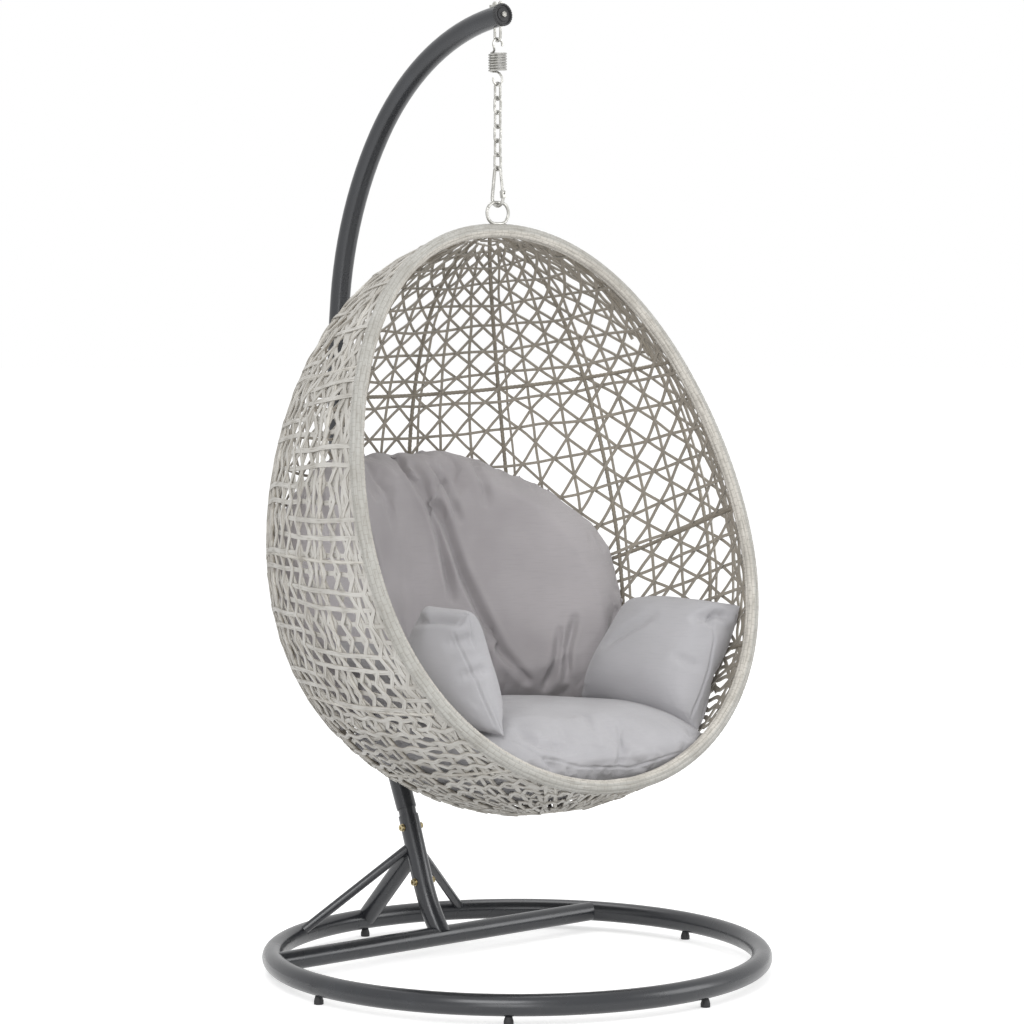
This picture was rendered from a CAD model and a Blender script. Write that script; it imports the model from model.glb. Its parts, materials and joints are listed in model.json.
"""A hanging egg chair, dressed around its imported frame: woven basket, cushions, hang line and stand."""

import json
import logging
import math
from dataclasses import dataclass, field
from enum import Enum
from functools import partial

import bmesh
import bpy
import numpy as np
from mathutils import Matrix, Vector, noise
from mathutils.bvhtree import BVHTree
from mathutils.kdtree import KDTree


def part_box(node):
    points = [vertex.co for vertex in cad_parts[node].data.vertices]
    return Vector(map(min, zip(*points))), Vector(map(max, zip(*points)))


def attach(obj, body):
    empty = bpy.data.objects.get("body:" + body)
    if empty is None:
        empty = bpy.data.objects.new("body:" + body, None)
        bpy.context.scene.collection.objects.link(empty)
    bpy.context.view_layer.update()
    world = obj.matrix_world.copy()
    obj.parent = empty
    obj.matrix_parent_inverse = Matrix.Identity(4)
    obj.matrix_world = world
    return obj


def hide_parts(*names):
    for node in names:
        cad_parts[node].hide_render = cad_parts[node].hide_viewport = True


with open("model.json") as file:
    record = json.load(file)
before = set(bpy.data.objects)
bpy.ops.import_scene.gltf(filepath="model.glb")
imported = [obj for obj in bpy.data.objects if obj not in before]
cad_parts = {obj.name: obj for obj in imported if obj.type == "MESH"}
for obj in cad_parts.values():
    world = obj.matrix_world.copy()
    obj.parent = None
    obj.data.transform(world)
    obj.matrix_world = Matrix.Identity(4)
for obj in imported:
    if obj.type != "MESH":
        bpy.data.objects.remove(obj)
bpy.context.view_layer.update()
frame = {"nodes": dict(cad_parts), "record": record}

LOG = logging.getLogger("egg_chair")
Colour = tuple[float, float, float]
Place = tuple[float, float, float]
Points = np.ndarray
Object = bpy.types.Object
Material = bpy.types.Material
Socket = bpy.types.NodeSocket


class Body(Enum):
    """The moving bodies that the pieces made here ride on."""

    STAND = "stand"
    BASKET = "basket"


class Lay(Enum):
    """The way a slanting strand turns on the basket's wall, in cells from one course to the next."""

    LEFT = -1
    RIGHT = 1


# ---------------------------------------------------------------- finishes


def linear(red: int, green: int, blue: int) -> Colour:
    """Turn a display's colour into the linear one that a shader takes.

    Args:
        red: red, 0 to 255.
        green: green, 0 to 255.
        blue: blue, 0 to 255.

    Returns:
        The linear colour.
    """
    tones = (value / 255 for value in (red, green, blue))
    return tuple(((tone + 0.055) / 1.055) ** 2.4 if tone > 0.04045 else tone / 12.92 for tone in tones)


class Recipe:
    """One material's node tree, with short calls for the nodes that the finishes share."""

    def __init__(self, name: str) -> None:
        """Start a material with a plain shader.

        Args:
            name: the material's name.
        """
        self.material = bpy.data.materials.new(name)
        self.material.use_nodes = True
        self.nodes = self.material.node_tree.nodes
        self.links = self.material.node_tree.links
        self.shader = self.nodes["Principled BSDF"]
        self.coords = self.nodes.new("ShaderNodeTexCoord")

    def set(self, **values: float | tuple) -> None:
        """Set the shader's own sockets, named with underscores for spaces."""
        for key, value in values.items():
            self.shader.inputs[key.replace("_", " ")].default_value = value

    def place(self, scale: Place = (1.0, 1.0, 1.0), source: str = "Object") -> Socket:
        """Scale the coordinates that a pattern reads.

        Args:
            scale: how often the pattern repeats in a metre, along each axis.
            source: Object or UV.

        Returns:
            The scaled coordinates.
        """
        node = self.nodes.new("ShaderNodeMapping")
        node.inputs["Scale"].default_value = scale
        self.links.new(self.coords.outputs[source], node.inputs["Vector"])
        return node.outputs["Vector"]

    def noise(self, where: Socket, scale: float, detail: float = 3.0) -> Socket:
        """Lay a noise over the surface.

        Args:
            where: the coordinates it reads.
            scale: its fineness.
            detail: how many finer layers it has.

        Returns:
            Its value, 0 to 1.
        """
        node = self.nodes.new("ShaderNodeTexNoise")
        node.inputs["Scale"].default_value = scale
        node.inputs["Detail"].default_value = detail
        self.links.new(where, node.inputs["Vector"])
        return node.outputs["Fac"]

    def wave(self, where: Socket, scale: float, axis: str, shift: float = 0.0) -> Socket:
        """Lay a row of soft bands over the surface.

        Args:
            where: the coordinates it reads.
            scale: how close the bands are.
            axis: X, Y or Z.
            shift: how far the bands waver.

        Returns:
            Its value, 0 to 1.
        """
        node = self.nodes.new("ShaderNodeTexWave")
        node.bands_direction = axis
        node.inputs["Scale"].default_value = scale
        node.inputs["Distortion"].default_value = shift
        self.links.new(where, node.inputs["Vector"])
        return node.outputs["Fac"]

    def math(self, kind: str, a: Socket | float, b: Socket | float) -> Socket:
        """Join two values.

        Args:
            kind: Blender's name of the sum.
            a: a socket or a number.
            b: a socket or a number.

        Returns:
            The result.
        """
        node = self.nodes.new("ShaderNodeMath")
        node.operation = kind
        for slot, value in zip(node.inputs, (a, b)):
            if isinstance(value, (int, float)):
                slot.default_value = value
            else:
                self.links.new(value, slot)
        return node.outputs["Value"]

    def spread(self, value: Socket, low: float, high: float, to_low: float = 0.0,
               to_high: float = 1.0) -> Socket:
        """Stretch a value from one range to another, smoothly and held at the ends.

        Args:
            value: what is stretched.
            low: the value that becomes to_low.
            high: the value that becomes to_high.
            to_low: the lower result.
            to_high: the upper result.

        Returns:
            The stretched value.
        """
        node = self.nodes.new("ShaderNodeMapRange")
        node.interpolation_type = "SMOOTHSTEP"
        for key, number in zip(("From Min", "From Max", "To Min", "To Max"), (low, high, to_low, to_high)):
            node.inputs[key].default_value = number
        self.links.new(value, node.inputs["Value"])
        return node.outputs["Result"]

    def blend(self, share: Socket, a: Colour | Socket, b: Colour | Socket) -> Socket:
        """Mix two colours.

        Args:
            share: how much of the second shows.
            a: the first colour.
            b: the second colour.

        Returns:
            The mixed colour.
        """
        node = self.nodes.new("ShaderNodeMix")
        node.data_type = "RGBA"
        self.links.new(share, node.inputs["Factor"])
        for slot, colour in zip((node.inputs[6], node.inputs[7]), (a, b)):
            if isinstance(colour, tuple):
                slot.default_value = (*colour, 1.0)
            else:
                self.links.new(colour, slot)
        return node.outputs[2]

    def colour(self, value: Socket) -> None:
        """Give the shader its colour."""
        self.links.new(value, self.shader.inputs["Base Color"])

    def rough(self, value: Socket) -> None:
        """Give the shader its roughness."""
        self.links.new(value, self.shader.inputs["Roughness"])

    def bump(self, height: Socket, depth: float, strength: float = 1.0) -> None:
        """Raise the surface by a pattern.

        Args:
            height: the pattern, 0 to 1.
            depth: its height in metres.
            strength: how much of it is felt.
        """
        node = self.nodes.new("ShaderNodeBump")
        node.inputs["Distance"].default_value = depth
        node.inputs["Strength"].default_value = strength
        self.links.new(height, node.inputs["Height"])
        self.links.new(node.outputs["Normal"], self.shader.inputs["Normal"])


@dataclass(frozen=True)
class Rattan:
    """Flat resin rattan: pale on the side that faces out, browner on the side that faces the sitter."""

    name: str
    outside: Colour
    inside: Colour
    streak: Colour
    centre: Colour
    grain: tuple[float, float] = (9.0, 30.0)
    relief: float = 0.0005
    blocks: bool = False
    turn_over: tuple[float, float] = (-0.26, 0.2)
    joint: float = 0.06

    def make(self) -> Material:
        """Mix the material.

        Returns:
            The material.
        """
        r = Recipe(self.name)
        offset = r.nodes.new("ShaderNodeVectorMath")
        offset.operation = "SUBTRACT"
        offset.inputs[1].default_value = self.centre
        r.links.new(r.coords.outputs["Object"], offset.inputs[0])
        facing = r.nodes.new("ShaderNodeVectorMath")
        facing.operation = "DOT_PRODUCT"
        r.links.new(offset.outputs["Vector"], facing.inputs[0])
        r.links.new(r.coords.outputs["Normal"], facing.inputs[1])
        out = r.spread(facing.outputs["Value"], *self.turn_over)
        streaks = r.noise(r.place((*self.grain, 1.0), "UV"), 1.0, 4.0)
        tone = r.noise(r.place(), 14.0, 3.0)
        ground = r.blend(out, self.inside, self.outside)
        mottled = r.blend(r.spread(tone, 0.38, 0.68, 0.0, 0.35), ground, self.streak)
        body = r.blend(r.spread(streaks, 0.48, 0.72, 0.0, 0.7), mottled, self.streak)
        if self.blocks:
            body = r.blend(r.math("MULTIPLY", self.joints(r), 0.55), body, self.streak)
        r.colour(body)
        r.rough(r.spread(streaks, 0.3, 0.7, 0.5, 0.72))
        r.bump(streaks, self.relief, 0.7)
        r.set(Specular_IOR_Level=0.35)
        return r.material

    def joints(self, r: Recipe) -> Socket:
        """Draw the shaded joints between the blocks of a winding, on a UV of one unit to a block.

        Args:
            r: the material.

        Returns:
            One in the joints.
        """
        split, join = r.nodes.new("ShaderNodeSeparateXYZ"), r.nodes.new("ShaderNodeCombineXYZ")
        r.links.new(r.coords.outputs["UV"], split.inputs[0])
        r.links.new(split.outputs["Y"], join.inputs["X"])
        r.links.new(split.outputs["X"], join.inputs["Y"])
        brick = r.nodes.new("ShaderNodeTexBrick")
        for key, number in (("Scale", 1.0), ("Brick Width", 1.0), ("Row Height", 1.0),
                            ("Mortar Size", self.joint), ("Mortar Smooth", 0.6)):
            brick.inputs[key].default_value = number
        r.links.new(join.outputs[0], brick.inputs["Vector"])
        return brick.outputs["Fac"]


@dataclass(frozen=True)
class PowderCoat:
    """Graphite powder coat, with the slight orange peel and the scuffs of a stand that is moved about."""

    name: str = "graphite_powder_coat"
    ground: Colour = linear(36, 38, 42)
    worn: Colour = linear(58, 61, 67)

    def make(self) -> Material:
        """Mix the material.

        Returns:
            The material.
        """
        r = Recipe(self.name)
        near = r.place()
        wear = r.spread(r.noise(near, 9.0, 3.0), 0.5, 0.8, 0.0, 0.25)
        r.colour(r.blend(wear, self.ground, self.worn))
        r.rough(r.spread(r.noise(near, 12.0, 2.0), 0.3, 0.7, 0.24, 0.3))
        r.bump(r.noise(near, 700.0, 1.0), 0.0001, 0.15)
        r.set(Metallic=0.2, Specular_IOR_Level=0.75)
        return r.material


@dataclass(frozen=True)
class Plated:
    """Plated steel: zinc or yellow zinc, cloudy and lightly brushed."""

    name: str
    bright: Colour
    dull: Colour
    smooth: float = 0.24

    def make(self) -> Material:
        """Mix the material.

        Returns:
            The material.
        """
        r = Recipe(self.name)
        near = r.place()
        cloud = r.noise(near, 90.0, 2.0)
        r.colour(r.blend(r.spread(cloud, 0.35, 0.7), self.bright, self.dull))
        r.rough(r.spread(cloud, 0.3, 0.7, self.smooth, self.smooth + 0.2))
        r.bump(r.noise(near, 600.0, 1.0), 0.00005, 0.1)
        r.set(Metallic=0.88)
        return r.material


@dataclass(frozen=True)
class Moulded:
    """Black moulded plastic with a fine spark-eroded grain."""

    name: str = "black_glide_plastic"
    ground: Colour = linear(34, 34, 36)
    dusty: Colour = linear(62, 62, 64)

    def make(self) -> Material:
        """Mix the material.

        Returns:
            The material.
        """
        r = Recipe(self.name)
        near = r.place()
        dust = r.noise(near, 45.0, 5.0)
        r.colour(r.blend(r.spread(dust, 0.5, 0.8, 0.0, 0.6), self.ground, self.dusty))
        r.rough(r.spread(dust, 0.3, 0.7, 0.5, 0.65))
        r.bump(r.noise(near, 1200.0, 2.0), 0.0003, 0.4)
        return r.material


@dataclass(frozen=True)
class Cloth:
    """Polyester cover cloth: a plain weave of fine threads with a soft sheen and faint slubs."""

    name: str
    ground: Colour
    shade: Colour
    threads: float = 520.0

    def make(self) -> Material:
        """Mix the material.

        Returns:
            The material.
        """
        r = Recipe(self.name)
        near = r.place()
        warp = r.wave(near, self.threads, "X", 1.2)
        weft = r.wave(near, self.threads, "Z", 1.2)
        weave = r.math("MULTIPLY", warp, weft)
        slub = r.noise(r.place((30.0, 30.0, 400.0)), 1.0, 2.0)
        cloud = r.noise(near, 5.0, 3.0)
        ground = r.blend(r.spread(cloud, 0.3, 0.75), self.ground, self.shade)
        r.colour(r.blend(r.spread(slub, 0.45, 0.75, 0.0, 0.3), ground, self.shade))
        r.bump(weave, 0.0004, 0.5)
        r.set(Roughness=0.9, Specular_IOR_Level=0.2, Sheen_Weight=0.25, Sheen_Roughness=0.5)
        return r.material


# ---------------------------------------------------------------- shared modelling


def deselect() -> None:
    """Leave nothing selected, so that the next operator acts on its own piece alone."""
    if bpy.context.object and bpy.context.object.mode != "OBJECT":
        bpy.ops.object.mode_set(mode="OBJECT")
    bpy.ops.object.select_all(action="DESELECT")


def pick(piece: Object) -> None:
    """Select one piece alone."""
    deselect()
    piece.select_set(True)
    bpy.context.view_layer.objects.active = piece


def new_object(name: str, mesh: bpy.types.Mesh) -> Object:
    """Stand a mesh in the scene.

    Args:
        name: the piece's name.
        mesh: its mesh, in the row frame.

    Returns:
        The piece.
    """
    piece = bpy.data.objects.new(name, mesh)
    bpy.context.scene.collection.objects.link(piece)
    return piece


def apply_all(piece: Object) -> None:
    """Apply every modifier of a piece, in order."""
    pick(piece)
    for modifier in list(piece.modifiers):
        bpy.ops.object.modifier_apply(modifier=modifier.name)


def smooth(piece: Object, angle: float = 40.0) -> None:
    """Shade a piece smooth, with edges sharper than an angle kept crisp.

    Args:
        piece: the piece.
        angle: the angle in degrees.
    """
    pick(piece)
    bpy.ops.object.shade_smooth_by_angle(angle=math.radians(angle))


def unit(vectors: Points) -> Points:
    """Scale rows of vectors to length one."""
    return vectors / np.maximum(np.linalg.norm(vectors, axis=-1, keepdims=True), 1e-12)


def ramp(value: Points, low: float, high: float) -> Points:
    """Rise smoothly from 0 at low to 1 at high."""
    t = np.clip((np.asarray(value, float) - low) / (high - low), 0, 1)
    return t * t * (3 - 2 * t)


def within_turn(phi: Points) -> Points:
    """Bring longitudes into the range from -pi to pi."""
    return (phi + math.pi) % (2 * math.pi) - math.pi


def run_of(line: Points) -> Points:
    """The length of a line up to each of its points."""
    return np.concatenate([[0], np.cumsum(np.linalg.norm(np.diff(line, axis=0), axis=1))])


def points_along(line: Points, run: Points, where: Points) -> Points:
    """Find points on a line.

    Args:
        line: its corners.
        run: the length up to each corner.
        where: the lengths at which the points lie.

    Returns:
        The points.
    """
    return np.stack([np.interp(where, run, line[:, k]) for k in range(3)], -1)


class Strands:
    """Many flat strands gathered into one mesh, each a tube with an oval section and its own UV along it."""

    uv_shift = 0.37

    def __init__(self, sides: int = 6, flat: float = 0.3) -> None:
        """Start an empty bundle.

        Args:
            sides: how many sides a strand's section has.
            flat: 1 for a round section, less for a flatter one.
        """
        self.sides, self.flat = sides, flat
        self.rings: list[Points] = []
        self.uvs: list[Points] = []
        self.closed: list[bool] = []
        self.turn = np.linspace(0, 2 * math.pi, sides, endpoint=False) + math.pi / sides

    def add(self, path: Points, up: Points, width: float | Points, depth: float | Points,
            closed: bool = False, swell: Points | None = None) -> None:
        """Lay one strand.

        Args:
            path: the line it follows.
            up: the wall's normal at each point.
            width: how wide it is.
            depth: how thick it is.
            closed: whether its ends meet.
            swell: a factor on the section at each point and side.
        """
        if closed:
            along = np.roll(path, -1, 0) - np.roll(path, 1, 0)
        else:
            along = np.gradient(path, axis=0)
        along = unit(along)
        side = unit(np.cross(along, up))
        rise = np.cross(side, along)
        c, s = np.cos(self.turn), np.sin(self.turn)
        c, s = c[None, :, None], (np.sign(s) * np.abs(s) ** self.flat)[None, :, None]
        w = np.broadcast_to(np.asarray(width, float), (len(path),))[:, None, None] / 2
        d = np.broadcast_to(np.asarray(depth, float), (len(path),))[:, None, None] / 2
        k = 1.0 if swell is None else swell[:, :, None]
        ring = path[:, None] + k * (w * c * side[:, None] + d * s * rise[:, None])
        self.rings.append(ring)
        self.uvs.append(run_of(path))
        self.closed.append(closed)

    def build(self, name: str) -> Object:
        """Make the bundle one mesh.

        Args:
            name: the piece's name.

        Returns:
            The piece.
        """
        n = self.sides
        faces, uv, base = [], [], 0
        caps: list[list[int]] = []
        for number, (ring, run, closed) in enumerate(zip(self.rings, self.uvs, self.closed)):
            count = len(ring)
            last = count if closed else count - 1
            i, j = np.meshgrid(np.arange(last), np.arange(n), indexing="ij")
            i2, j2 = (i + 1) % count, (j + 1) % n
            quad = np.stack([i * n + j, i * n + j2, i2 * n + j2, i2 * n + j], -1) + base
            faces.append(quad.reshape(-1, 4))
            step = run[1] - run[0] if count > 1 else 0.0
            ahead = run[np.minimum(i + 1, count - 1)] - run[i]
            v0, v1 = run[i], run[i] + np.where(i + 1 < count, ahead, step)
            u0, u1 = j / n + number * self.uv_shift, (j + 1) / n + number * self.uv_shift
            corners = [np.stack(corner, -1) for corner in ((u0, v0), (u1, v0), (u1, v1), (u0, v1))]
            uv.append(np.stack(corners, -2).reshape(-1, 2))
            if not closed:
                caps.append([base + k for k in range(n - 1, -1, -1)])
                caps.append([base + (count - 1) * n + k for k in range(n)])
            base += count * n
        verts = np.concatenate([r.reshape(-1, 3) for r in self.rings])
        quads = np.concatenate(faces)
        mesh = bpy.data.meshes.new(name)
        mesh.from_pydata(verts.tolist(), [], quads.tolist() + caps)
        layer = mesh.uv_layers.new(name="UVMap")
        flat = np.zeros((len(mesh.loops), 2), np.float32)
        flat[:len(quads) * 4] = np.concatenate(uv)
        layer.data.foreach_set("uv", flat.ravel())
        mesh.polygons.foreach_set("use_smooth", np.ones(len(mesh.polygons), bool))
        mesh.update()
        return new_object(name, mesh)


# ---------------------------------------------------------------- the egg


@dataclass(frozen=True)
class Egg:
    """The basket's wall as a surface: an egg that leans back under its ring, cut by a slanting mouth."""

    radius: float = 0.523
    length: float = 1.173
    lean: float = math.radians(9.3)
    pole: Place = (0.0, 0.03644, 1.49531)
    belly: float = 0.0494
    shoulder: float = 0.0239
    mouth_top: float = 0.022
    mouth_slant: float = 0.190

    def turn(self, s: Points) -> Points:
        """The angle from the crown of a depth below it."""
        return np.arccos(np.clip(1 - 2 * np.asarray(s, float) / self.length, -1, 1))

    def girth(self, s: Points) -> Points:
        """The wall's radius at a depth below the crown."""
        a = self.turn(s)
        return self.radius * np.sin(a) * (1 - self.belly * np.sin(2 * a) + self.shoulder * np.cos(2 * a))

    def mouth(self, s: Points) -> Points:
        """How far before the egg's axis the mouth lies at a depth below the crown."""
        return self.mouth_top + self.mouth_slant * np.asarray(s, float) / self.length

    def reach(self, s: Points, room: float = 0.0) -> Points:
        """The longitude, from the rear, at which the wall meets the mouth.

        Args:
            s: depths below the crown.
            room: how far behind the mouth the wall stops.

        Returns:
            The longitudes, pi where the wall goes all the way round.
        """
        ratio = (self.mouth(s) - room) / np.maximum(self.girth(s), 1e-6)
        return np.where(ratio >= 1, math.pi, np.arccos(np.clip(-ratio, -1, 1)))

    def at(self, phi: Points, s: Points, off: Points | float = 0.0) -> tuple[Points, Points]:
        """Points on the wall.

        Args:
            phi: longitudes from the rear.
            s: depths below the crown.
            off: how far outside the wall's middle they lie.

        Returns:
            The points and the wall's outward normals there, in the row frame.
        """
        r = self.girth(s)
        p = np.stack([r * np.sin(phi), r * np.cos(phi), -np.asarray(s, float) + 0 * phi], -1)
        half = self.length / 2
        n = unit(np.stack([p[..., 0] / self.radius ** 2, p[..., 1] / self.radius ** 2,
                           (p[..., 2] + half) / half ** 2], -1))
        p = p + n * np.asarray(off)[..., None]
        return self.to_row(p) + np.array(self.pole), self.to_row(n)

    def to_row(self, v: Points) -> Points:
        """Lean vectors of the egg's own frame back into the row frame."""
        c, s = math.cos(self.lean), math.sin(self.lean)
        return np.stack([v[..., 0], v[..., 1] * c + v[..., 2] * s, -v[..., 1] * s + v[..., 2] * c], -1)

    def keep_inside(self, points: Points, room: float) -> Points:
        """Push points that lie outside the wall, or too near it, back inside.

        Args:
            points: points in the row frame.
            room: the least distance from the wall's middle.

        Returns:
            The points, moved where they had to be.
        """
        nudge = 0.002
        c, s = math.cos(self.lean), math.sin(self.lean)
        q = points - np.array(self.pole)
        x, y, deep = q[:, 0], q[:, 1] * c - q[:, 2] * s, -(q[:, 1] * s + q[:, 2] * c)
        r = np.hypot(x, y)
        for _ in range(3):
            g = self.girth(deep)
            slope = (self.girth(deep + nudge) - self.girth(deep - nudge)) / (2 * nudge)
            tilt = 1 / np.sqrt(1 + slope ** 2)
            over = np.maximum((r - g) * tilt + room, 0)
            factor = np.maximum(r - over * tilt, 1e-4) / np.maximum(r, 1e-4)
            x, y, r = x * factor, y * factor, r * factor
            deep = deep + over * slope * tilt
        return self.to_row(np.stack([x, y, -deep], -1)) + np.array(self.pole)

    def arc_table(self) -> tuple[Points, Points]:
        """Depth and length along the wall from the crown.

        Returns:
            Depths, and the arc length at each.
        """
        s = self.length / 2 * (1 - np.cos(np.linspace(0, math.pi, 800)))
        r = self.girth(s)
        return s, np.concatenate([[0], np.cumsum(np.hypot(np.diff(s), np.diff(r)))])

    def centre(self) -> Place:
        """The middle of the egg in the row frame."""
        return tuple(self.to_row(np.array([0.0, 0.0, -self.length / 2])) + np.array(self.pole))


@dataclass
class Basket:
    """The woven egg: courses, uprights and two slanting lays of flat strand on wrapped ribs and hoops.

    Lengths are in metres. Longitudes run from the rear, and are negative towards the left of the mouth.
    """

    egg: Egg = field(default_factory=Egg)
    # the net: cells round the egg, the way from course to course, and the arc above the first course
    cells: int = 42
    course: float = 0.059
    first: float = 0.025
    base_radius: float = 0.070
    # one strand, how far it lies from the wall's middle, how it strays, and where it stops before the mouth
    strand: float = 0.0066
    thick: float = 0.0028
    layer: float = 0.0022
    stray: float = 0.0045
    patches: float = 12.0
    end_room: float = 0.004
    # the courses: how far they pass over and under the ribs, and the ripple of the close ones
    over_rib: float = 0.0046
    ripple: float = 0.0035
    ripples: int = 52
    close_from: float = 19.5
    close_pitch: float = 0.42
    # how the courses hang: drawn down at the left of the mouth, slack at the back, level at the foot
    sink: float = 0.085
    sink_turn: tuple[float, float] = (0.8, 2.0)
    sink_depth: tuple[float, float] = (0.25, 0.7)
    sag: float = 0.095
    sag_left: tuple[float, float] = (-1.2, -0.1)
    sag_right: tuple[float, float] = (0.7, 1.9)
    sag_depth: tuple[float, float] = (0.3, 0.6)
    level_depth: tuple[float, float] = (0.8, 1.15)
    # where the strands lie broader, and by how much
    broad: float = 0.6
    broad_turn: tuple[float, float] = (0.75, 1.15)
    broad_depth: tuple[float, float] = (0.80, 0.98)
    broad_right: float = 0.12
    broad_right_turn: tuple[float, float] = (0.8, 1.2)
    # the close left flank
    flank_from: int = 8
    flank_depths: tuple[float, float] = (0.33, 0.97)
    flank_edge: float = -0.95
    flank_end: float = -2.4
    flank_swing: float = 0.0085
    # the wrapped wires
    ribs: int = 14
    wire: float = 0.0042
    wire_sides: int = 8
    wire_step: float = 0.0035
    ridge: float = 0.12
    ridge_pitch: float = 2.6
    hoops: tuple[float, ...] = (0.276, 0.590, 0.880, 1.060)
    # the mouth: its tube, the blocks of its winding, and the rows of strand along it
    rim_radius: float = 0.0142
    rim_sides: int = 40
    rim_columns: int = 8
    rim_groove: float = 0.14
    block: float = 0.017
    edge_rows: tuple[float, ...] = (0.019, 0.030, 0.041, 0.053, 0.067, 0.082)
    # the nodes that the pieces stand for
    weave_nodes: tuple[str, ...] = ("weave_row_1", "weave_row_2", "weave_row_3", "weave_row_4", "weave_row_5",
                                    "weave_sides", "weave_front")
    rib_nodes: tuple[str, ...] = ("rib_back", "rib_left_1", "rib_left_2", "rib_left_3", "rib_right_1",
                                  "rib_right_2", "rib_right_3", "ribs_front")
    hoop_nodes: tuple[str, ...] = ("hoop_1", "hoop_2", "hoop_3", "hoop_4")

    def __post_init__(self) -> None:
        """Measure the wall once."""
        self.depths, self.arcs = self.egg.arc_table()
        self.cell = 2 * math.pi / self.cells
        lower = self.depths > self.egg.length / 2
        base_depth = float(self.depths[(self.egg.girth(self.depths) < self.base_radius) & lower][0])
        self.v_high = (float(np.interp(base_depth, self.depths, self.arcs)) - self.first) / self.course

    def depth(self, v: Points) -> Points:
        """The depth below the crown of a course number."""
        return np.interp(self.first + self.course * np.asarray(v, float), self.arcs, self.depths)

    def wander(self, phi: Points, s: Points) -> tuple[Points, Points]:
        """Shift points a little, as hands do, the same for every strand that passes a place.

        Args:
            phi: longitudes.
            s: depths.

        Returns:
            Shifted longitudes and depths.
        """
        r, k, elsewhere = np.maximum(self.egg.girth(s), 0.05), self.patches, Vector((31.0, 7.0, 3.0))
        a, b = np.empty_like(phi), np.empty_like(phi)
        for i in range(len(phi)):
            at = Vector((k * r[i] * math.sin(phi[i]), k * r[i] * math.cos(phi[i]), k * s[i]))
            a[i] = noise.noise(at)
            b[i] = noise.noise(at + elsewhere)
        return phi + self.stray * a / r, s + self.stray * b

    def skew(self, phi: Points, s: Points) -> Points:
        """Let courses and hoops hang: drawn down at the left of the mouth, and slack at the back.

        Args:
            phi: longitudes.
            s: depths.

        Returns:
            The depths at which they hang.
        """
        level = 1 - ramp(s, *self.level_depth)
        sunken = self.sink * ramp(-phi, *self.sink_turn) * ramp(s, *self.sink_depth) * level
        rear = ramp(phi, *self.sag_left) * (1 - ramp(phi, *self.sag_right))
        return s + sunken + self.sag * rear * ramp(s, *self.sag_depth) * level

    def open_wall(self, phi: Points, s: Points) -> Points:
        """Where the wall is the open lattice: neither the close left flank nor the foot."""
        top, low = self.flank_depths
        return ((phi > self.flank_edge) | (s < top)) & (s < low)

    def girth_of_strand(self, phi: Points, s: Points) -> Points:
        """How wide the strands lie: broader on the flanks and under the seat than on the open back.

        Args:
            phi: longitudes.
            s: depths.

        Returns:
            A factor on the width.
        """
        flank = np.where(phi < 0, ramp(-phi, *self.broad_turn), 0.0)
        left_and_foot = self.broad * np.maximum(flank, ramp(s, *self.broad_depth))
        return 1 + left_and_foot + self.broad_right * ramp(phi, *self.broad_right_turn)

    def runs(self, phi: Points, s: Points, wanted: Points | bool) -> list[tuple[int, int]]:
        """Find the stretches of a line that lie on the wall.

        Args:
            phi: longitudes.
            s: depths.
            wanted: where the line may lie at all.

        Returns:
            The first and last index of each stretch.
        """
        inside = (np.abs(phi) <= self.egg.reach(s, self.end_room)) & wanted
        found, start = [], None
        for i, here in enumerate(inside):
            if here and start is None:
                start = i
            if start is not None and (not here or i == len(inside) - 1):
                end = i if here else i - 1
                if end - start >= 2:
                    found.append((start, end))
                start = None
        return found

    def lay_line(self, bundle: Strands, phi: Points, s: Points, off: Points, width: float,
                 open_only: bool = False) -> None:
        """Lay a line on the wall wherever the wall is.

        Args:
            bundle: the strands it joins.
            phi: longitudes.
            s: depths.
            off: offsets from the wall's middle.
            width: how wide the strand is.
            open_only: whether it keeps to the open lattice.
        """
        phi = within_turn(phi)
        wanted = self.open_wall(phi, s) if open_only else True
        phi, s = self.wander(phi, self.skew(phi, s))
        folded = within_turn(phi)
        width = width * self.girth_of_strand(folded, s)
        for start, end in self.runs(folded, s, wanted):
            cut = slice(start, end + 1)
            points, normals = self.egg.at(phi[cut], s[cut], off[cut])
            bundle.add(points, normals, width[cut], self.thick)

    def courses(self) -> Object:
        """The strands that go round the egg, spaced on the lattice and close on the flank and at the foot."""
        bundle = Strands()
        close = np.arange(self.close_from, self.v_high - 0.1, self.close_pitch)
        between = np.arange(self.flank_from, int(self.close_from)) + 0.5
        for turn, k in enumerate([*range(int(self.close_from) + 1), *between, *close]):
            s0 = float(self.depth(k))
            around = max(24, int(2 * math.pi * float(self.egg.girth(s0)) / 0.008))
            last = self.flank_edge + 0.05 if k in between else math.pi
            phi = np.linspace(-math.pi, last, around)
            over = np.cos(math.pi * (phi / self.cell - 1.5) / 3) * (1 if turn % 2 else -1)
            ripple = self.ripple * np.cos(self.ripples * phi + math.pi * turn) if k in close else 0.0
            self.lay_line(bundle, phi, s0 + ripple + 0 * phi, self.over_rib * over, self.strand)
        return bundle.build("weave_courses")

    def flank_pairs(self) -> Object:
        """The pairs of strands that cross and cross again between the close courses of the left flank."""
        bundle = Strands()
        v = np.arange(self.flank_from, self.close_from + 1.0, 0.1)
        s = self.depth(v)
        zigzag = (2 / math.pi) * np.arcsin(np.cos(2 * math.pi * v))
        half = self.cell / 2
        for column in range(int(self.flank_edge / half), int(self.flank_end / half), -1):
            for side in (-1, 1):
                phi = column * half + side * self.flank_swing / self.egg.girth(s) * zigzag
                self.lay_line(bundle, phi, s, self.layer * side + 0 * s, self.strand * 0.9)
        return bundle.build("weave_flank_pairs")

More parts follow.
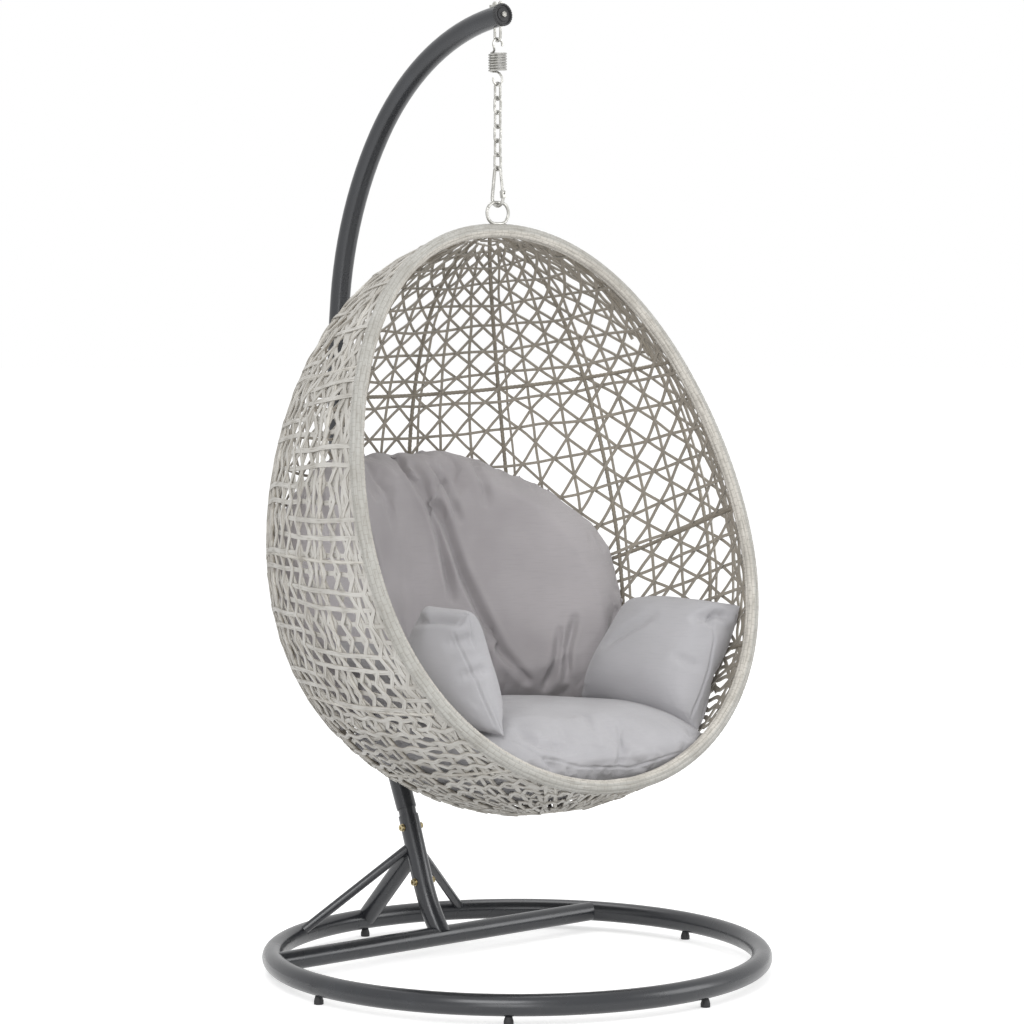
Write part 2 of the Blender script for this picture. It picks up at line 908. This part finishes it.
    def slants(self, lay: Lay) -> Object:
        """The strands that climb the wall at a slant.

        Args:
            lay: which way they turn.

        Returns:
            The piece.
        """
        bundle = Strands()
        v = np.arange(1.6, self.v_high + 0.02, 0.125)
        s = self.depth(v)
        side = self.layer * lay.value
        for n in range(self.cells):
            phi = (n + lay.value * v) * self.cell
            wave = side + 0.0012 * np.cos(2 * math.pi * v + n)
            self.lay_line(bundle, phi, s, wave, self.strand, open_only=True)
        return bundle.build(f"weave_{lay.name.lower()}_lay")

    def uprights(self) -> Object:
        """The strands that run from crown to foot between the ribs, and the one that keeps each rib company."""
        bundle = Strands()
        v = np.arange(1.0, self.v_high + 0.02, 0.16)
        s = self.depth(v)
        ones = np.ones_like(v)
        for k in range(self.cells):
            u = k + 0.5
            if (k - 1) % 3 == 0:
                beside = u * self.cell * ones + 0.018 / np.maximum(self.egg.girth(s), 0.12)
                self.lay_line(bundle, beside, s, 0.001 * ones, self.strand * 0.85)
            else:
                self.lay_line(bundle, u * self.cell * ones, s, 0.0 * ones, self.strand)
        return bundle.build("weave_uprights")

    def edging(self) -> Object:
        """The close strands that run along the mouth and tie the weave to its tube."""
        bundle = Strands()
        s_top, s_low = self.mouth_ends()
        t = np.linspace(0.02, math.pi - 0.02, 260)
        for row, room in enumerate(self.edge_rows):
            s = s_top + (s_low - s_top) * (1 - np.cos(t)) / 2
            phi = self.egg.reach(s, room)
            keep = (phi < math.pi - 1e-3) & (phi > 0.3) & ((row < 4) | (s < 0.42 - 0.04 * row))
            s, phi = s[keep], phi[keep]
            wave = self.layer * np.cos(np.arange(len(s)) * 0.55 + row * math.pi)
            for side in (-1, 1):
                points, normals = self.egg.at(side * phi, s, wave)
                bundle.add(points, normals, self.strand * 1.35, self.thick)
        return bundle.build("weave_mouth_edging")

    def mouth_ends(self) -> tuple[float, float]:
        """The depths of the mouth's top and foot."""
        inside = self.depths[self.egg.girth(self.depths) > self.egg.mouth(self.depths)]
        return float(inside[0]), float(inside[-1])

    def rim_line(self) -> tuple[Points, Points]:
        """The mouth's line.

        Returns:
            Evenly spaced points round the mouth, and the way the mouth faces at each.
        """
        s_top, s_low = self.mouth_ends()
        t = np.linspace(0, 2 * math.pi, 2400, endpoint=False)
        s = s_top + (s_low - s_top) * (1 - np.cos(t)) / 2
        half = np.sqrt(np.maximum(self.egg.girth(s) ** 2 - self.egg.mouth(s) ** 2, 0))
        p = np.stack([half * np.sign(np.sin(t)), -self.egg.mouth(s), -s], -1)
        p = self.egg.to_row(p) + np.array(self.egg.pole)
        loop = np.vstack([p, p[:1]])
        run = run_of(loop)
        count = int(run[-1] / 0.0025)
        path = points_along(loop, run, np.linspace(0, run[-1], count, endpoint=False))
        slant = math.atan2(self.egg.mouth_slant, self.egg.length)
        face = self.egg.to_row(np.array([0.0, -math.cos(slant), math.sin(slant)]))
        return path, np.repeat(face[None], count, 0)

    def rim(self) -> Object:
        """The mouth's tube, wound with flat strand that passes over and under in short blocks."""
        path, up = self.rim_line()
        total = float(run_of(np.vstack([path, path[:1]]))[-1])
        sides, columns = self.rim_sides, self.rim_columns
        bundle = Strands(sides, 1.0)
        blocks = round(total / self.block)
        along = np.arange(len(path))[:, None] / len(path) * blocks
        around = np.arange(sides)[None] / sides * columns
        column = np.floor(around)
        across = np.sin(math.pi * (around - column)) ** 0.4
        share = (along + 0.5 * (column % 2)) % 1.0
        lengthwise = np.clip(np.sin(math.pi * share) * 3.6, 0, 1) ** 0.6
        swell = (1 - self.rim_groove) + self.rim_groove * across * lengthwise
        bundle.add(path, up, 2 * self.rim_radius, 2 * self.rim_radius, closed=True, swell=swell)
        piece = bundle.build("mouth_tube_wrapped")
        layer = piece.data.uv_layers[0].data
        uv = np.empty(2 * len(layer), np.float32)
        layer.foreach_get("uv", uv)
        uv = uv.reshape(-1, 2) * (columns, blocks / total)
        layer.foreach_set("uv", uv.astype(np.float32).ravel())
        return piece

    def frame_wraps(self) -> tuple[Object, Object]:
        """The ribs and the hoops, each a wire wound with a narrow strip.

        Returns:
            The ribs and the hoops.
        """
        ribs, hoops = Strands(self.wire_sides, 1.0), Strands(self.wire_sides, 1.0)
        fine = np.arange(0.02, self.v_high * self.course + self.first, self.wire_step)
        s = np.interp(fine, self.arcs, self.depths)
        for number in range(self.ribs):
            turn = (number + 0.5 - self.ribs / 2) * math.radians(360 / self.ribs)
            keep = np.abs(turn) <= self.egg.reach(s)
            if abs(turn) > 1.9:  # those before the mouth's foot stand only in the lower half
                keep = keep & (s > 0.5)
            if keep.sum() >= 4:
                self.wind(ribs, np.full(keep.sum(), turn), s[keep])
        for depth in self.hoops:
            reach = float(self.egg.reach(depth))
            phi = np.linspace(-reach, reach, int(2 * reach * float(self.egg.girth(depth)) / self.wire_step))
            self.wind(hoops, phi, self.skew(phi, np.full_like(phi, depth)))
        return ribs.build("ribs_wrapped"), hoops.build("hoops_wrapped")

    def wind(self, bundle: Strands, phi: Points, s: Points) -> None:
        """Lay a wire on the wall with the ridges of the strip wound round it.

        Args:
            bundle: the wires it joins.
            phi: longitudes.
            s: depths.
        """
        i, j = np.meshgrid(np.arange(len(phi)), np.arange(self.wire_sides), indexing="ij")
        ridges = 1.0 + self.ridge * np.sin(2 * math.pi * (i / self.ridge_pitch + j / self.wire_sides))
        points, normals = self.egg.at(phi, s)
        bundle.add(points, normals, 2 * self.wire, 2 * self.wire, swell=ridges)

    def dress(self, rattan: Material, wrap: Material, rim: Material) -> None:
        """Build the basket's pieces and give them their finishes.

        Args:
            rattan: the weave's finish.
            wrap: the finish of ribs and hoops.
            rim: the finish of the mouth's tube.
        """
        weave = [self.courses(), self.flank_pairs(), self.uprights()]
        weave += [self.slants(Lay.LEFT), self.slants(Lay.RIGHT), self.edging()]
        for piece in weave:
            smooth(piece)
            finish(piece, rattan, Body.BASKET, self.weave_nodes)
        ribs, hoops = self.frame_wraps()
        finish(ribs, wrap, Body.BASKET, self.rib_nodes)
        finish(hoops, wrap, Body.BASKET, self.hoop_nodes)
        finish(self.rim(), rim, Body.BASKET, ("rim_tube",))


def finish(piece: Object, material: Material, body: Body, nodes: tuple[str, ...] = ()) -> None:
    """Give a piece its material and its place in the part.

    Args:
        piece: the piece.
        material: its material.
        body: the body that it rides on.
        nodes: the nodes that it stands for.
    """
    piece.data.materials.clear()
    piece.data.materials.append(material)
    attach(piece, body.value)
    if nodes:
        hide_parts(*nodes)
    LOG.info("%s: %d faces on %s", piece.name, len(piece.data.polygons), body.value)


# ---------------------------------------------------------------- cushions


def points_of(mesh: bpy.types.Mesh, kind: str = "co") -> Points:
    """Read a mesh's points or their normals, one row each."""
    flat = np.empty(len(mesh.vertices) * 3)
    mesh.vertices.foreach_get(kind, flat)
    return flat.reshape(-1, 3)


def move_points(mesh: bpy.types.Mesh, points: Points) -> None:
    """Put a mesh's points somewhere else."""
    mesh.vertices.foreach_set("co", points.ravel())
    mesh.update()


@dataclass(frozen=True)
class Fold:
    """A fold in a cover: a valley with soft shoulders that runs along a line and fades at its ends."""

    line: tuple[Place, ...] | Points
    depth: float
    width: float

    def laid_on(self, cover: BVHTree, eye: Vector) -> "Fold":
        """Lay the line on a cover, as seen from a place.

        Args:
            cover: the cover's surface.
            eye: the place.

        Returns:
            The same fold with its line on the surface.
        """
        corners = np.array(self.line)
        run = run_of(corners)
        even = np.linspace(0, run[-1], max(3, int(run[-1] / 0.006)))
        found = []
        for point in points_along(corners, run, even):
            way = (Vector(point) - eye).normalized()
            hit = cover.ray_cast(Vector(point) - 0.3 * way, way, 0.6)[0]
            found.append(hit or cover.find_nearest(Vector(point))[0])
        return Fold(np.array([tuple(point) for point in found]), self.depth, self.width)

    def press(self, points: Points) -> Points:
        """How deep the fold is at each point.

        Args:
            points: points of the cover.

        Returns:
            The depth, negative on the shoulders.
        """
        line, run = self.line, run_of(self.line)
        run = run / run[-1]
        near, where = np.full(len(points), np.inf), np.zeros(len(points))
        for k in range(len(line) - 1):
            a, d = line[k], line[k + 1] - line[k]
            t = np.clip((points - a) @ d / (d @ d), 0, 1)
            far = np.linalg.norm(points - a - t[:, None] * d, axis=1)
            closer = far < near
            near = np.where(closer, far, near)
            where = np.where(closer, run[k] + t * (run[k + 1] - run[k]), where)
        x = near / self.width
        fade = np.clip(np.sin(math.pi * (0.08 + 0.84 * where)) * 1.6, 0, 1)
        return self.depth * fade * (1 - 0.55 * x ** 2) * np.exp(-0.5 * x ** 2)


@dataclass(frozen=True)
class Tuck:
    """A corner of a pillow that is pushed down, beyond a line that runs square to a direction on the floor."""

    across: tuple[float, float] = (0.755, -0.656)
    start: float = -0.143
    over: float = 0.05
    above: float = 0.62
    share: float = 0.5

    def push(self, points: Points) -> Points:
        """Push the corner down.

        Args:
            points: the pillow's points.

        Returns:
            The points, lower in the corner.
        """
        along = points[:, 0] * self.across[0] + points[:, 1] * self.across[1]
        height = np.maximum(points[:, 2] - self.above, 0)
        down = self.share * ramp(self.start - along, 0.0, self.over) * height
        return points - down[:, None] * np.array([0.0, 0.0, 1.0])


@dataclass
class Cushion:
    """One stuffed cushion, blown up inside its cover from the shape of its solid."""

    node: str
    material: Material
    egg: Egg
    # the start shape, and how much its edges are rounded
    voxel: float = 0.0065
    soften: int = 0
    # the filling: the cover starts smaller, and no point ends further than the cap from where it began
    pressure: float = 4.0
    frames: int = 20
    cap: float = 0.026
    shrink: float = 0.006
    slack: float = -0.03
    fill: float = 0.7
    # how far past its solid's box it reaches, and how far inside the wall it stays
    grow_low: Place = (0.0, 0.0, 0.0)
    grow_high: Place = (0.0, 0.0, 0.0)
    room: float = 0.010
    # the cover: its seam, its slight waves across and down, its folds and a corner pushed down
    seam: float = 0.0035
    seam_width: float = 0.005
    rumple: float = 0.003
    waves: tuple[float, float] = (14.0, 9.0)
    folds: tuple[Fold, ...] = ()
    tuck: Tuck | None = None

    def start(self) -> Object:
        """Copy the solid, close it and remesh it evenly.

        Returns:
            The start shape.
        """
        mesh = frame["nodes"][self.node].data.copy()
        mesh.materials.clear()
        work = bmesh.new()
        work.from_mesh(mesh)
        bmesh.ops.remove_doubles(work, verts=work.verts, dist=1e-5)
        bmesh.ops.recalc_face_normals(work, faces=work.faces)
        self.edge = self.seam_points(work)
        work.to_mesh(mesh)
        work.free()
        piece = new_object(f"{self.node}_cover", mesh)
        remesh = piece.modifiers.new("even", "REMESH")
        remesh.mode = "VOXEL"
        remesh.voxel_size = self.voxel
        apply_all(piece)
        return piece

    def seam_points(self, work: bmesh.types.BMesh) -> KDTree:
        """Find the seam of the cover, which is the solid's sharp edge.

        Args:
            work: the solid's closed mesh.

        Returns:
            A tree of points along the seam.
        """
        found = []
        for edge in work.edges:
            if edge.is_manifold and edge.calc_face_angle() > 0.9:
                a, b = (v.co for v in edge.verts)
                parts = max(1, int((b - a).length / 0.004))
                found += [a.lerp(b, k / parts) for k in range(parts)]
        tree = KDTree(len(found))
        for number, point in enumerate(found):
            tree.insert(point, number)
        tree.balance()
        return tree

    def blow(self, piece: Object) -> None:
        """Fill the cover: a short cloth simulation with pressure, held near the start shape.

        Args:
            piece: the start shape.
        """
        mesh = piece.data
        rest = points_of(mesh)
        move_points(mesh, rest - self.shrink * points_of(mesh, "normal"))
        cloth = piece.modifiers.new("fill", "CLOTH")
        cloth.settings.use_pressure = True
        cloth.settings.uniform_pressure_force = self.pressure
        cloth.settings.shrink_min = self.slack
        cloth.settings.effector_weights.gravity = 0.0
        cloth.settings.quality = 5
        cloth.point_cache.frame_start = 1
        cloth.point_cache.frame_end = self.frames
        scene = bpy.context.scene
        for number in range(1, self.frames + 1):
            scene.frame_set(number)
        now = points_of(piece.evaluated_get(bpy.context.evaluated_depsgraph_get()).data)
        piece.modifiers.remove(cloth)
        scene.frame_set(1)
        shift = now - rest
        far = np.linalg.norm(shift, axis=1, keepdims=True)
        move_points(mesh, rest + shift * np.minimum(1.0, self.cap / np.maximum(far, 1e-9)))

    def settle(self, points: Points) -> Points:
        """Let the cushion fill the room it has: its solid's box, grown where it may, and inside the wall.

        Args:
            points: the blown cover's points.

        Returns:
            The settled points.
        """
        low, high = (np.array(corner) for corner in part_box(self.node))
        low, high = low - self.grow_low, high + self.grow_high
        own_low, own_high = points.min(0), points.max(0)
        points = low + (points - own_low) * (high - low) / (own_high - own_low)
        if self.tuck:
            points = self.tuck.push(points)
        return self.egg.keep_inside(points, self.room)

    def crumple(self, points: Points) -> Points:
        """The slight waves of a slack cover, longer down than across.

        Args:
            points: the cover's points.

        Returns:
            The depth of the waves.
        """
        scale = (self.waves[0], self.waves[0], self.waves[1])
        return self.rumple * np.array([noise.noise(Vector(point)) for point in points * scale])

    def build(self) -> Object:
        """Make the cushion.

        Returns:
            The finished cushion.
        """
        piece = self.start()
        gap = np.array([self.edge.find(v.co)[2] for v in piece.data.vertices])
        if self.soften:
            rounding = piece.modifiers.new("round", "SMOOTH")
            rounding.factor, rounding.iterations = 0.5, self.soften
            apply_all(piece)
        self.blow(piece)
        mesh = piece.data
        mesh.update()
        groove = self.seam * np.clip(1 - (gap / self.seam_width) ** 2, 0, 1)
        move_points(mesh, self.settle(points_of(mesh)) - groove[:, None] * points_of(mesh, "normal"))
        smoothing = piece.modifiers.new("even", "SUBSURF")
        smoothing.levels = smoothing.render_levels = 1
        apply_all(piece)
        mesh = piece.data
        points, normals = points_of(mesh), points_of(mesh, "normal")
        cover = BVHTree.FromPolygons([v.co for v in mesh.vertices], [f.vertices[:] for f in mesh.polygons])
        eye = Vector(Studio.eye)
        pressed = self.crumple(points)
        for fold in self.folds:
            pressed = pressed + fold.laid_on(cover, eye).press(points)
        points = points - pressed[:, None] * normals
        move_points(mesh, self.egg.keep_inside(points, self.room))
        for face in mesh.polygons:
            face.use_smooth = True
        finish(piece, self.material, Body.BASKET, (self.node,))
        return piece


# ---------------------------------------------------------------- the arm's end


@dataclass
class EndCap:
    """The plug in the arm's end: a knurled plastic rim round a sunk face, and the screw that spreads it."""

    radius: float = 0.0232
    depth: float = 0.0085
    slope: float = math.radians(6.9)
    ribs: int = 28
    knurl: float = 0.955
    screw: float = 0.0062
    screw_depth: float = 0.0045

    def turned(self, piece: Object, centre: Vector) -> None:
        """Lay a part that was made upright against the arm's end.

        Args:
            piece: the part, made round the origin and facing up.
            centre: the middle of the arm's end.
        """
        way = Vector((0.0, -math.cos(self.slope), math.sin(self.slope)))
        piece.data.transform(Matrix.Translation(centre) @ way.to_track_quat("Z", "Y").to_matrix().to_4x4())

    def plug(self) -> Object:
        """The knurled rim with its sunk face.

        Returns:
            The plug, upright.
        """
        deselect()
        bpy.ops.mesh.primitive_cylinder_add(vertices=2 * self.ribs, radius=self.radius, depth=self.depth)
        piece = bpy.context.object
        piece.name = "arm_end_plug"
        for vert in piece.data.vertices:
            if round(math.atan2(vert.co.y, vert.co.x) / math.pi * self.ribs) % 2:
                vert.co = (vert.co.x * self.knurl, vert.co.y * self.knurl, vert.co.z)
        self.step_top(piece, ((0.0035, -0.0035), (0.0045, 0.0018)), 0.0006)
        return piece

    def spreader(self) -> Object:
        """The hexagon screw in the plug's middle.

        Returns:
            The screw's head, upright.
        """
        deselect()
        bpy.ops.mesh.primitive_cylinder_add(vertices=6, radius=self.screw, depth=self.screw_depth,
                                            location=(0, 0, 0.0046))
        piece = bpy.context.object
        piece.name = "arm_end_screw"
        bpy.ops.object.transform_apply(location=True)
        self.step_top(piece, ((0.0014, 0.0007),), 0.0005)
        return piece

    def step_top(self, piece: Object, steps: tuple[tuple[float, float], ...], bevel: float) -> None:
        """Step a part's top face inwards, and bevel the edges.

        Args:
            piece: the part, upright.
            steps: how far in and how far up each step goes.
            bevel: the width of the bevel.
        """
        pick(piece)
        bpy.ops.object.mode_set(mode="EDIT")
        work = bmesh.from_edit_mesh(piece.data)
        for face in work.faces:
            face.select = face.normal.z > 0.9
        bmesh.update_edit_mesh(piece.data)
        for inwards, up in steps:
            bpy.ops.mesh.inset(thickness=inwards)
            bpy.ops.mesh.extrude_region_move(TRANSFORM_OT_translate={"value": (0, 0, up)})
        bpy.ops.object.mode_set(mode="OBJECT")
        edge = piece.modifiers.new("edge", "BEVEL")
        edge.width, edge.segments, edge.limit_method = bevel, 2, "ANGLE"
        apply_all(piece)

    def dress(self, plastic: Material, zinc: Material) -> None:
        """Fit the plug and its screw.

        Args:
            plastic: the plug's finish.
            zinc: the screw's finish.
        """
        low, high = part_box("arm_end_cap")
        middle = Vector((0.0, low.y + self.depth / 2 + 0.0006, (low.z + high.z) / 2 + 0.001))
        plug, screw = self.plug(), self.spreader()
        for piece in (plug, screw):
            self.turned(piece, middle)
            smooth(piece, 35.0)
        finish(plug, plastic, Body.STAND, ("arm_end_cap",))
        finish(screw, zinc, Body.STAND)


# ---------------------------------------------------------------- the room


@dataclass(frozen=True)
class Lamp:
    """A soft square lamp that looks at the basket: its place, side and power in watts."""

    name: str
    place: Place
    size: float
    power: float
    target: Place = (0.0, 0.0, 0.9)

    def hang(self) -> None:
        """Hang the lamp."""
        data = bpy.data.lights.new(self.name, "AREA")
        data.size, data.energy = self.size, self.power
        lamp = bpy.data.objects.new(self.name, data)
        lamp.location = self.place
        lamp.rotation_euler = (Vector(self.target) - Vector(self.place)).to_track_quat("-Z", "Y").to_euler()
        bpy.context.scene.collection.objects.link(lamp)


@dataclass(frozen=True)
class Studio:
    """A pale floor, soft lamps and the camera."""

    eye: Place = (-4.3549, -5.0324, 1.3577)
    pitch: float = 0.06396
    azimuth: float = math.radians(41) + 0.00067
    lens: float = 116.02
    sky: float = 0.73
    floor_grey: float = 0.8
    floor_lift: float = 0.52
    lamps: tuple[Lamp, ...] = (
        Lamp("key_lamp", (-4.0, -3.0, 4.2), 3.0, 145.0),
        Lamp("fill_lamp", (3.6, -4.2, 2.6), 3.0, 95.0),
        Lamp("front_lamp", (-4.6, -4.6, 0.9), 2.5, 60.0),
        Lamp("top_lamp", (0.5, 1.5, 5.0), 3.0, 60.0),
    )

    def camera(self) -> None:
        """Stand the camera."""
        data = bpy.data.cameras.new("camera")
        data.lens, data.sensor_width, data.sensor_fit = self.lens, 36.0, "HORIZONTAL"
        data.clip_end = 200.0
        camera = bpy.data.objects.new("camera", data)
        bpy.context.scene.collection.objects.link(camera)
        level = math.cos(self.pitch)
        forward = Vector((math.sin(self.azimuth) * level, math.cos(self.azimuth) * level,
                          -math.sin(self.pitch)))
        camera.location = self.eye
        camera.rotation_euler = forward.to_track_quat("-Z", "Y").to_euler()
        bpy.context.scene.camera = camera

    def world(self) -> None:
        """Light everything evenly, and show white to the camera and to shiny things."""
        world = bpy.data.worlds.new("studio")
        bpy.context.scene.world = world
        world.use_nodes = True
        nodes, links = world.node_tree.nodes, world.node_tree.links
        nodes.clear()
        mix = nodes.new("ShaderNodeMixShader")
        links.new(self.seen(nodes, links), mix.inputs["Fac"])
        for slot, strength in ((1, self.sky), (2, 1.0)):
            shade = nodes.new("ShaderNodeBackground")
            shade.inputs["Color"].default_value = (1, 1, 1, 1)
            shade.inputs["Strength"].default_value = strength
            links.new(shade.outputs[0], mix.inputs[slot])
        links.new(mix.outputs[0], nodes.new("ShaderNodeOutputWorld").inputs["Surface"])

    def seen(self, nodes: bpy.types.Nodes, links: bpy.types.NodeLinks) -> Socket:
        """One for rays that come from the camera, straight, mirrored or through something clear.

        Args:
            nodes: the tree's nodes.
            links: the tree's links.

        Returns:
            The share.
        """
        path = nodes.new("ShaderNodeLightPath")
        total = path.outputs["Is Camera Ray"]
        for key in ("Is Glossy Ray", "Is Transmission Ray"):
            plus = nodes.new("ShaderNodeMath")
            plus.operation = "MAXIMUM"
            links.new(total, plus.inputs[0])
            links.new(path.outputs[key], plus.inputs[1])
            total = plus.outputs[0]
        return total

    def floor(self) -> None:
        """Lay the floor."""
        deselect()
        bpy.ops.mesh.primitive_circle_add(vertices=96, radius=60.0, fill_type="NGON", location=(0, 0, -0.0005))
        floor = bpy.context.object
        floor.name = "floor"
        r = Recipe("pale_floor")
        r.set(Base_Color=(self.floor_grey, self.floor_grey, self.floor_grey, 1), Roughness=0.9,
              Specular_IOR_Level=0.0, Emission_Color=(1, 1, 1, 1))
        lift = r.math("MULTIPLY", self.seen(r.nodes, r.links), self.floor_lift)
        r.links.new(lift, r.shader.inputs["Emission Strength"])
        floor.data.materials.append(r.material)

    def build(self) -> None:
        """Set the room up."""
        bpy.context.scene.view_settings.view_transform = "Standard"
        self.camera()
        self.world()
        self.floor()
        for lamp in self.lamps:
            lamp.hang()


def finish_nodes(finishes: dict[str, Material]) -> None:
    """Give every node that is still shown its finish.

    Args:
        finishes: a material for each of the record's slots.
    """
    slots = {part["node"]: part["material_slot"] for part in frame["record"]["subparts"]}
    for name, node in frame["nodes"].items():
        if node.hide_render:
            continue
        node.data.materials.clear()
        node.data.materials.append(finishes[slots[name]])
        LOG.info("%s: %s", name, slots[name])


def cushions(egg: Egg, back_cloth: Material, pale_cloth: Material) -> list[Cushion]:
    """Lay out the four cushions with their folds, each given as a line, a depth and a width.

    Args:
        egg: the wall that they lean on.
        back_cloth: the back cushion's cloth.
        pale_cloth: the cloth of the others.

    Returns:
        The cushions.
    """
    back_folds = (
        Fold(((0.020, 0.372, 1.032), (0.051, 0.330, 0.973), (0.076, 0.315, 0.916), (0.094, 0.306, 0.853),
              (0.104, 0.295, 0.783), (0.106, 0.283, 0.731)), 0.018, 0.0095),
        Fold(((0.050, 0.345, 1.010), (0.063, 0.331, 0.986), (0.106, 0.306, 0.888), (0.135, 0.287, 0.791),
              (0.161, 0.256, 0.703), (0.188, 0.220, 0.620), (0.231, 0.189, 0.557)), 0.019, 0.010),
        Fold(((0.199, 0.325, 1.015), (0.201, 0.292, 0.975), (0.200, 0.280, 0.930)), 0.010, 0.010),
        Fold(((0.317, 0.133, 0.684), (0.293, 0.130, 0.624), (0.290, 0.129, 0.560)), 0.015, 0.009),
        Fold(((0.287, 0.146, 0.660), (0.270, 0.139, 0.589), (0.262, 0.165, 0.540)), 0.013, 0.0085),
        Fold(((0.100, 0.350, 1.020), (0.121, 0.311, 0.958), (0.138, 0.297, 0.896)), 0.012, 0.0085),
        Fold(((-0.120, 0.350, 1.010), (-0.100, 0.320, 0.900), (-0.080, 0.300, 0.780)), 0.012, 0.010),
        Fold(((-0.250, 0.300, 0.980), (-0.220, 0.260, 0.860)), 0.010, 0.013),
    )
    seat_folds = (
        Fold(((-0.219, -0.281, 0.511), (-0.171, -0.307, 0.483), (-0.059, -0.300, 0.450),
              (0.089, -0.283, 0.433), (0.242, -0.268, 0.449)), 0.003, 0.0026),
        Fold(((0.055, -0.292, 0.520), (0.044, -0.312, 0.479), (0.063, -0.284, 0.433)), 0.010, 0.010),
        Fold(((-0.191, -0.267, 0.528), (-0.165, -0.298, 0.504), (-0.119, -0.308, 0.493)), 0.009, 0.012),
        Fold(((-0.163, -0.309, 0.481), (-0.123, -0.300, 0.452)), 0.008, 0.010),
    )
    right_folds = (
        Fold(((0.408, -0.190, 0.696), (0.410, -0.196, 0.663), (0.405, -0.186, 0.603), (0.351, -0.212, 0.549),
              (0.307, -0.230, 0.505)), 0.004, 0.0026),
        Fold(((0.424, -0.185, 0.715), (0.392, -0.188, 0.697), (0.408, -0.190, 0.690)), 0.007, 0.006),
        Fold(((0.370, -0.182, 0.704), (0.418, -0.185, 0.714), (0.460, -0.184, 0.704)), 0.012, 0.010),
        Fold(((0.323, -0.098, 0.709), (0.288, -0.060, 0.678), (0.265, -0.022, 0.647)), 0.008, 0.013),
        Fold(((0.306, -0.190, 0.631), (0.351, -0.205, 0.612)), 0.006, 0.011),
    )
    left_folds = (
        Fold(((-0.297, -0.201, 0.719), (-0.281, -0.215, 0.671), (-0.267, -0.225, 0.638),
              (-0.255, -0.235, 0.597), (-0.245, -0.244, 0.566), (-0.235, -0.250, 0.541)), 0.0032, 0.0026),
        Fold(((-0.290, -0.080, 0.735), (-0.258, -0.106, 0.738), (-0.235, -0.150, 0.735)), 0.012, 0.010),
        Fold(((-0.307, -0.199, 0.700), (-0.255, -0.201, 0.705)), 0.006, 0.011),
        Fold(((-0.300, -0.230, 0.640), (-0.250, -0.240, 0.650)), 0.006, 0.010),
    )
    pillow = partial(Cushion, material=pale_cloth, egg=egg, voxel=0.005, soften=14, fill=0.8)
    return [
        Cushion("seat_cushion", pale_cloth, egg, grow_low=(0.0, 0.010, 0.0), grow_high=(0.0, 0.015, -0.014),
                folds=seat_folds),
        Cushion("back_cushion", back_cloth, egg, grow_low=(0.0, 0.0, 0.046), grow_high=(0.005, 0.0, 0.004),
                rumple=0.006, waves=(11.0, 3.5), folds=back_folds),
        pillow("arm_pillow_left", grow_low=(0.0, 0.010, 0.006), grow_high=(0.014, 0.0, 0.030),
               folds=left_folds, tuck=Tuck()),
        pillow("arm_pillow_right", grow_low=(0.010, 0.022, 0.030), grow_high=(0.014, 0.0, 0.010),
               folds=right_folds),
    ]


def main() -> None:
    """Build the chair piece by piece."""
    logging.basicConfig(level=logging.INFO, format="%(message)s")
    Studio().build()
    basket = Basket()
    centre = basket.egg.centre()
    rattan = Rattan("rattan_strand", outside=linear(189, 187, 182), inside=linear(156, 149, 138),
                    streak=linear(134, 129, 120), centre=centre).make()
    wrap = Rattan("rattan_wrap", outside=linear(194, 191, 184), inside=linear(142, 135, 123),
                  streak=linear(112, 105, 95), centre=centre).make()
    rim = Rattan("rattan_rim", outside=linear(174, 173, 168), inside=linear(200, 196, 188),
                 streak=linear(138, 134, 126), centre=centre, grain=(5.0, 0.5), relief=0.0012,
                 blocks=True).make()
    basket.dress(rattan, wrap, rim)
    back_cloth = Cloth("cushion_cloth_back", ground=linear(175, 171, 173), shade=linear(158, 154, 156)).make()
    pale_cloth = Cloth("cushion_cloth", ground=linear(176, 175, 178), shade=linear(163, 162, 165)).make()
    for cushion in cushions(basket.egg, back_cloth, pale_cloth):
        cushion.build()
    zinc = Plated("bright_zinc", bright=linear(184, 183, 179), dull=linear(150, 149, 144)).make()
    yellow_zinc = Plated("yellow_zinc", bright=linear(176, 163, 128), dull=linear(132, 120, 90)).make()
    plastic = Moulded().make()
    EndCap().dress(plastic, zinc)
    finish_nodes({
        "powder_coat": PowderCoat().make(),
        "black_plastic": plastic,
        "yellow_zinc": yellow_zinc,
        "zinc": zinc,
        "mouth_tube": rim,
        "rattan": rattan,
        "rattan_frame": wrap,
        "cushion_fabric": pale_cloth,
    })


if __name__ == "__main__":
    main()
